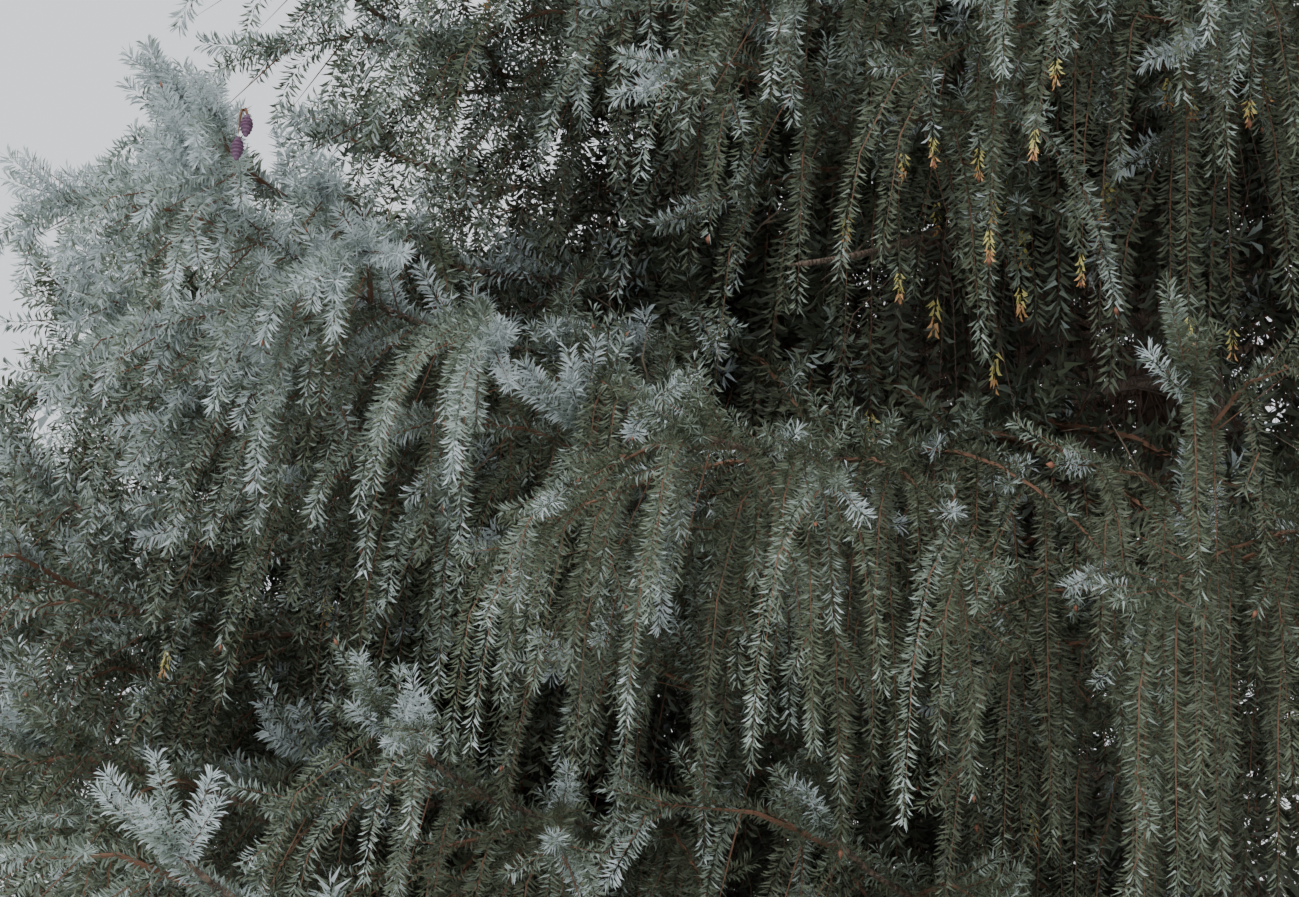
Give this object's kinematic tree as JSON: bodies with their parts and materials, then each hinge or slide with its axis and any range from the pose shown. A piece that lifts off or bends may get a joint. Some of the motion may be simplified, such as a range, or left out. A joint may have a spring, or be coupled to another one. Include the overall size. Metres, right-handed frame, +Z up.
{
  "type": "serbian spruce tree",
  "caption": "Weeping Serbian spruce rooted in level ground: a slim flared trunk carrying tiers of drooping boughs with upturned ends, each ending in hanging sprays of needles.",
  "frame": {"origin": "centre of the trunk's flat cut at ground level", "axes": "+Z up the trunk, -Y towards the side that the picture shows, +X to the right of that view"},
  "size_m": [4.086, 4.0028, 8.8],
  "materials": {
    "bark": "matte scaly grey-brown bark",
    "foliage": "waxy blue-green needles on thin brown twigs"
  },
  "bodies": {
    "root": {"bough_2a": "bark", "bough_2b": "bark", "bough_2c": "bark", "bough_3a": "bark", "bough_3b": "bark", "bough_3c": "bark", "bough_4a": "bark", "bough_4b": "bark", "bough_4c": "bark", "bough_4d": "bark", "bough_4e": "bark", "bough_5a": "bark", "bough_5b": "bark", "bough_5c": "bark", "bough_6a": "bark", "bough_6b": "bark", "bough_6c": "bark", "bough_6d": "bark", "foliage_10a": "foliage", "foliage_10b": "foliage", "foliage_10c": "foliage", "foliage_11a": "foliage", "foliage_11b": "foliage", "foliage_12a": "foliage", "foliage_12b": "foliage", "foliage_1a": "foliage", "foliage_1b": "foliage", "foliage_1c": "foliage", "foliage_1d": "foliage", "foliage_2a": "foliage", "foliage_2b": "foliage", "foliage_2c": "foliage", "foliage_3a": "foliage", "foliage_3b": "foliage", "foliage_3c": "foliage", "foliage_4a": "foliage", "foliage_4b": "foliage", "foliage_4c": "foliage", "foliage_4d": "foliage", "foliage_4e": "foliage", "foliage_5a": "foliage", "foliage_5b": "foliage", "foliage_5c": "foliage", "foliage_6a": "foliage", "foliage_6b": "foliage", "foliage_6c": "foliage", "foliage_6d": "foliage", "foliage_7a": "foliage", "foliage_7b": "foliage", "foliage_7c": "foliage", "foliage_7d": "foliage", "foliage_8a": "foliage", "foliage_8b": "foliage", "foliage_8c": "foliage", "foliage_8d": "foliage", "foliage_9a": "foliage", "foliage_9b": "foliage", "foliage_9c": "foliage", "foliage_top": "foliage", "trunk": "bark"}
  },
  "joints": []
}
